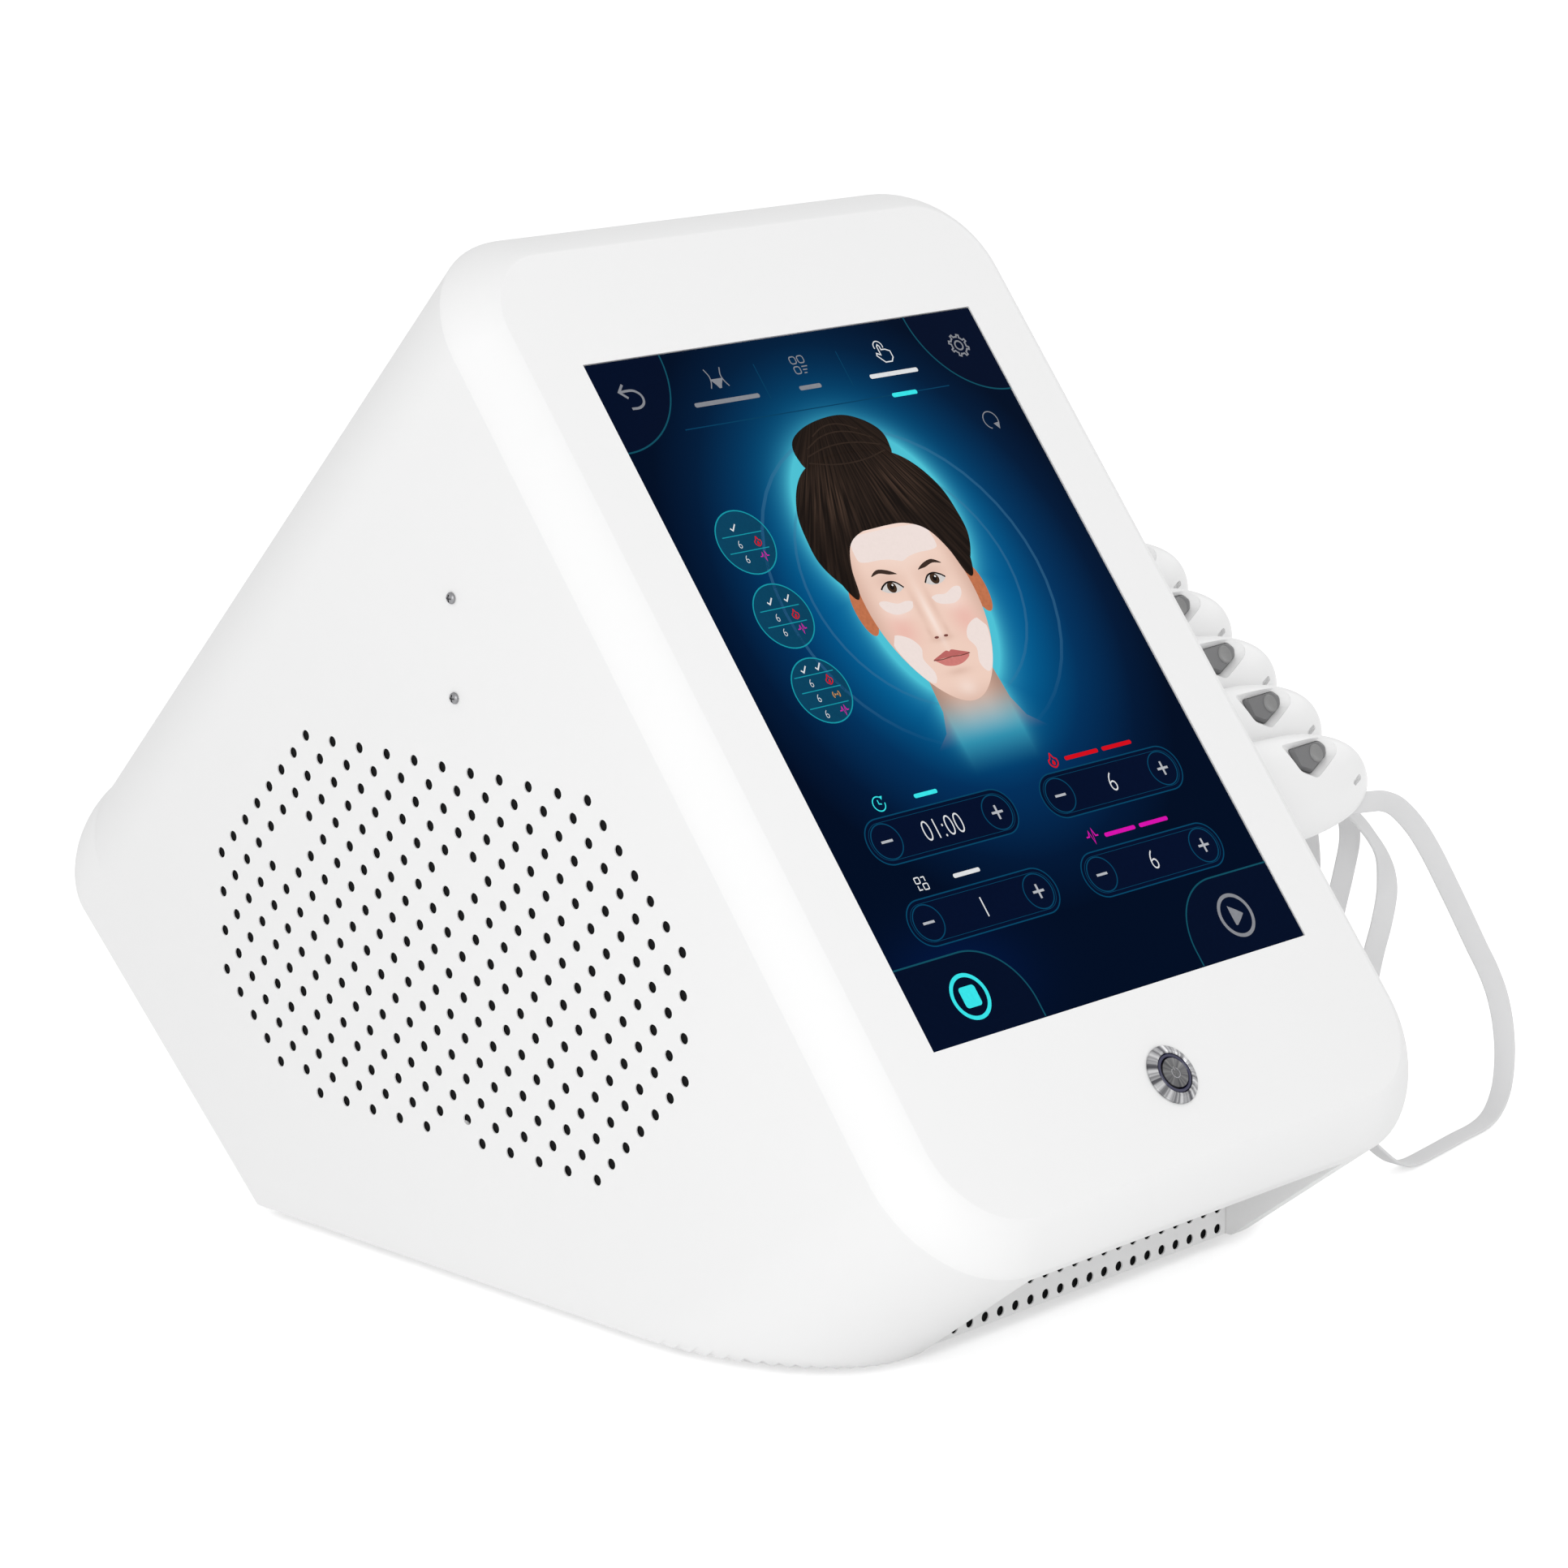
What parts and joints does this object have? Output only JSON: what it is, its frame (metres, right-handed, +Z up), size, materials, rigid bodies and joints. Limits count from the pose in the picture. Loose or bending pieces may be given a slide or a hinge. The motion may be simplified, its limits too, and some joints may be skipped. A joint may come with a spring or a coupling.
{
  "type": "face lifting massager",
  "caption": "White wedge-shaped desktop console with a sloped touch screen, a push switch below it, a perforated side vent, and applicator clips on flat leads parked on a side rack.",
  "frame": {"origin": "bottom centre of the console with its clips on their rack, without the leads, on the surface that the feet stand on", "axes": "+Z up, the screen faces -Y and slopes back, +X towards the side with the clips"},
  "size_m": [0.4818, 0.5332, 0.4199],
  "materials": {
    "shell": "satin",
    "clip": "satin",
    "contact": "matte",
    "lead": "matte",
    "screen": "gloss",
    "panel": "satin",
    "steel": "satin",
    "bezel": "polished",
    "button": "satin",
    "light_ring": "gloss",
    "black_plastic": "satin",
    "foot": "matte",
    "relay": "matte",
    "board": "satin"
  },
  "bodies": {
    "console": {"housing": "shell", "base_plate": "shell", "base_screw_1": "steel", "base_screw_2": "steel", "base_screw_3": "steel", "base_screw_4": "steel", "foot_1": "foot", "foot_2": "foot", "foot_3": "foot", "foot_4": "foot", "front_grille": "shell", "touch_glass": "screen", "display_panel": "panel", "display_bar_lower": "steel", "display_bar_upper": "steel", "display_screw_1": "steel", "display_screw_2": "steel", "display_screw_3": "steel", "display_screw_4": "steel", "switch_bezel": "bezel", "switch_light_ring": "light_ring", "switch_nut": "steel", "side_bracket": "steel", "side_screw_upper": "steel", "side_screw_lower": "steel", "status_relay": "relay", "fan_frame": "black_plastic", "fan_screw_1": "steel", "fan_screw_2": "steel", "fan_screw_3": "steel", "fan_screw_4": "steel", "power_supply": "panel", "control_board": "board", "output_board": "board", "inlet_socket": "black_plastic", "clip_rack": "shell", "rack_screw_1": "steel", "rack_screw_2": "steel", "lead_outlet": "shell"},
    "power_button": {"switch_cap": "button"},
    "fan": {"fan_rotor": "black_plastic"},
    "fuse_carrier": {"fuse_drawer": "black_plastic"},
    "applicator_1": {"clip_1": "clip", "contact_1": "contact", "lead_1": "lead"},
    "applicator_2": {"clip_2": "clip", "contact_2": "contact", "lead_2": "lead"},
    "applicator_3": {"clip_3": "clip", "contact_3": "contact", "lead_3": "lead"},
    "applicator_4": {"clip_4": "clip", "contact_4": "contact", "lead_4": "lead"},
    "applicator_5": {"clip_5": "clip", "contact_5": "contact", "lead_5": "lead"}
  },
  "joints": [
    {"name": "power_button_press", "type": "slide", "parent": "console", "child": "power_button", "axis": [0, 0.7949, -0.6067], "range_m": [0, 0.0025], "stiffness_N_per_m": 800, "springref_m": -0.002},
    {"name": "fan_spin", "type": "hinge", "parent": "console", "child": "fan", "pos_m": [-0.1734, 0.04853, 0.1179], "axis": [1, 0, 0], "continuous": true},
    {"name": "fuse_drawer_pull", "type": "slide", "parent": "console", "child": "fuse_carrier", "axis": [0, 0.6947, -0.7193], "range_m": [0, 0.012]},
    {"name": "applicator_1_lift_off", "type": "slide", "parent": "console", "child": "applicator_1", "axis": [1, 0, 0], "range_m": [0, 0.06]},
    {"name": "applicator_2_lift_off", "type": "slide", "parent": "console", "child": "applicator_2", "axis": [1, 0, 0], "range_m": [0, 0.06]},
    {"name": "applicator_3_lift_off", "type": "slide", "parent": "console", "child": "applicator_3", "axis": [1, 0, 0], "range_m": [0, 0.06]},
    {"name": "applicator_4_lift_off", "type": "slide", "parent": "console", "child": "applicator_4", "axis": [1, 0, 0], "range_m": [0, 0.06]},
    {"name": "applicator_5_lift_off", "type": "slide", "parent": "console", "child": "applicator_5", "axis": [1, 0, 0], "range_m": [0, 0.06]}
  ]
}
